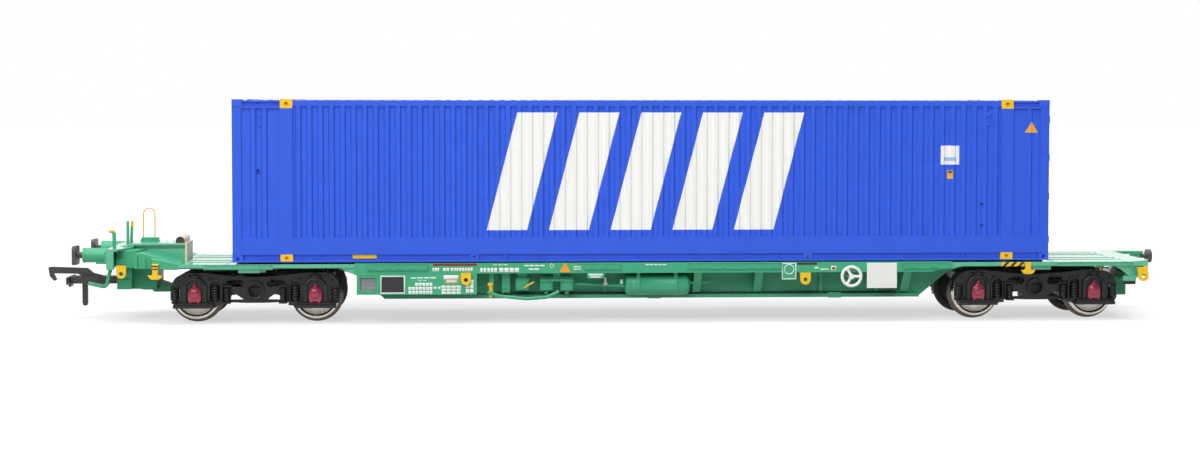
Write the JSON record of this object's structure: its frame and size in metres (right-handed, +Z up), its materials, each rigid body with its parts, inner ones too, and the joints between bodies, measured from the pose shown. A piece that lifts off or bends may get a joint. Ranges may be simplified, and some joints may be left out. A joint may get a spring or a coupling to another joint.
{
  "type": "scale model bogie container flat wagon with container",
  "caption": "Model railway bogie flat wagon carrying a long ribbed container; its wheelsets turn, its bogies swivel, and its coupling swings and lifts its hook.",
  "frame": {"origin": "on the surface that the wheel flanges stand on, under the middle of the container, on the centre line", "axes": "+X along the wagon towards its low inner end, +Z up, -Y the side with the near data panel"},
  "size_m": [0.255, 0.0346, 0.0493],
  "materials": {
    "wagon_green": "satin",
    "container_blue": "satin",
    "bogie_black": "satin",
    "axle_box_red": "satin",
    "wheel_metal": "turned",
    "axle_steel": "turned",
    "fitting_yellow": "gloss",
    "buffer_grey": "matt",
    "coupling_black": "matt",
    "handwheel_white": "gloss",
    "sign_white": "satin",
    "stop_cream": "satin",
    "loop_wire": "painted",
    "screw_steel": "plain"
  },
  "bodies": {
    "wagon": {"air_lines": "bogie_black", "air_reservoirs": "wagon_green", "brake_gear": "wagon_green", "brake_hose": "wagon_green", "brake_pipes": "wagon_green", "buffer_bracket": "wagon_green", "buffer_heads": "buffer_grey", "buffer_housings": "wagon_green", "buffer_inner": "buffer_grey", "container_end_doors": "container_blue", "container_end_outer": "container_blue", "container_floor": "container_blue", "container_pads": "wagon_green", "container_roof": "container_blue", "container_side_far": "container_blue", "container_side_near": "container_blue", "corner_fittings": "container_blue", "coupling_pocket": "wagon_green", "cross_members": "wagon_green", "deck_inner": "wagon_green", "deck_outer": "wagon_green", "door_rods": "container_blue", "drawbar_socket": "wagon_green", "end_stop": "stop_cream", "equipment_panels": "wagon_green", "handrail_loop": "loop_wire", "handwheels": "handwheel_white", "headstock_inner": "wagon_green", "headstock_outer": "wagon_green", "lashing_plates": "fitting_yellow", "lever_plinth": "wagon_green", "lift_blocks": "fitting_yellow", "main_beam_far": "wagon_green", "main_beam_near": "wagon_green", "neck_boxes": "wagon_green", "neck_spine": "wagon_green", "pivot_screws": "screw_steel", "side_sill_far": "wagon_green", "side_sill_near": "wagon_green", "sign_boards": "sign_white", "sill_brackets": "wagon_green", "striped_bars": "fitting_yellow", "towing_hooks": "fitting_yellow", "uncoupling_levers": "wagon_green"},
    "bogie_outer": {"axle_boxes_outer": "axle_box_red", "bogie_frame_outer": "bogie_black", "coil_springs_outer": "bogie_black"},
    "bogie_inner": {"axle_boxes_inner": "axle_box_red", "bogie_frame_inner": "bogie_black", "coil_springs_inner": "bogie_black"},
    "wheelset_1": {"axle_1": "axle_steel", "wheels_1": "wheel_metal"},
    "wheelset_2": {"axle_2": "axle_steel", "wheels_2": "wheel_metal"},
    "wheelset_3": {"axle_3": "axle_steel", "wheels_3": "wheel_metal"},
    "wheelset_4": {"axle_4": "axle_steel", "wheels_4": "wheel_metal"},
    "coupling": {"coupling_arm": "coupling_black"},
    "hook": {"coupling_hook": "coupling_black"}
  },
  "joints": [
    {"name": "bogie_outer_swivel", "type": "hinge", "parent": "wagon", "child": "bogie_outer", "pos_m": [-0.0855, 0, 0.0095], "axis": [0, 0, 1], "range_deg": [-12, 12]},
    {"name": "bogie_inner_swivel", "type": "hinge", "parent": "wagon", "child": "bogie_inner", "pos_m": [0.0882, 0, 0.0095], "axis": [0, 0, 1], "range_deg": [-12, 12]},
    {"name": "wheelset_1_spin", "type": "hinge", "parent": "bogie_outer", "child": "wheelset_1", "pos_m": [-0.09865, 0, 0.00585], "axis": [0, 1, 0], "continuous": true},
    {"name": "wheelset_2_spin", "type": "hinge", "parent": "bogie_outer", "child": "wheelset_2", "pos_m": [-0.07235, 0, 0.00585], "axis": [0, 1, 0], "continuous": true},
    {"name": "wheelset_3_spin", "type": "hinge", "parent": "bogie_inner", "child": "wheelset_3", "pos_m": [0.07505, 0, 0.00585], "axis": [0, 1, 0], "continuous": true},
    {"name": "wheelset_4_spin", "type": "hinge", "parent": "bogie_inner", "child": "wheelset_4", "pos_m": [0.10135, 0, 0.00585], "axis": [0, 1, 0], "continuous": true},
    {"name": "coupling_swing", "type": "hinge", "parent": "wagon", "child": "coupling", "pos_m": [-0.1107, 0, 0.0088], "axis": [0, 0, 1], "range_deg": [-10, 10]},
    {"name": "coupling_hook_lift", "type": "hinge", "parent": "coupling", "child": "hook", "pos_m": [-0.1209, 0, 0.0089], "axis": [0, 1, 0], "range_deg": [0, 25]}
  ]
}
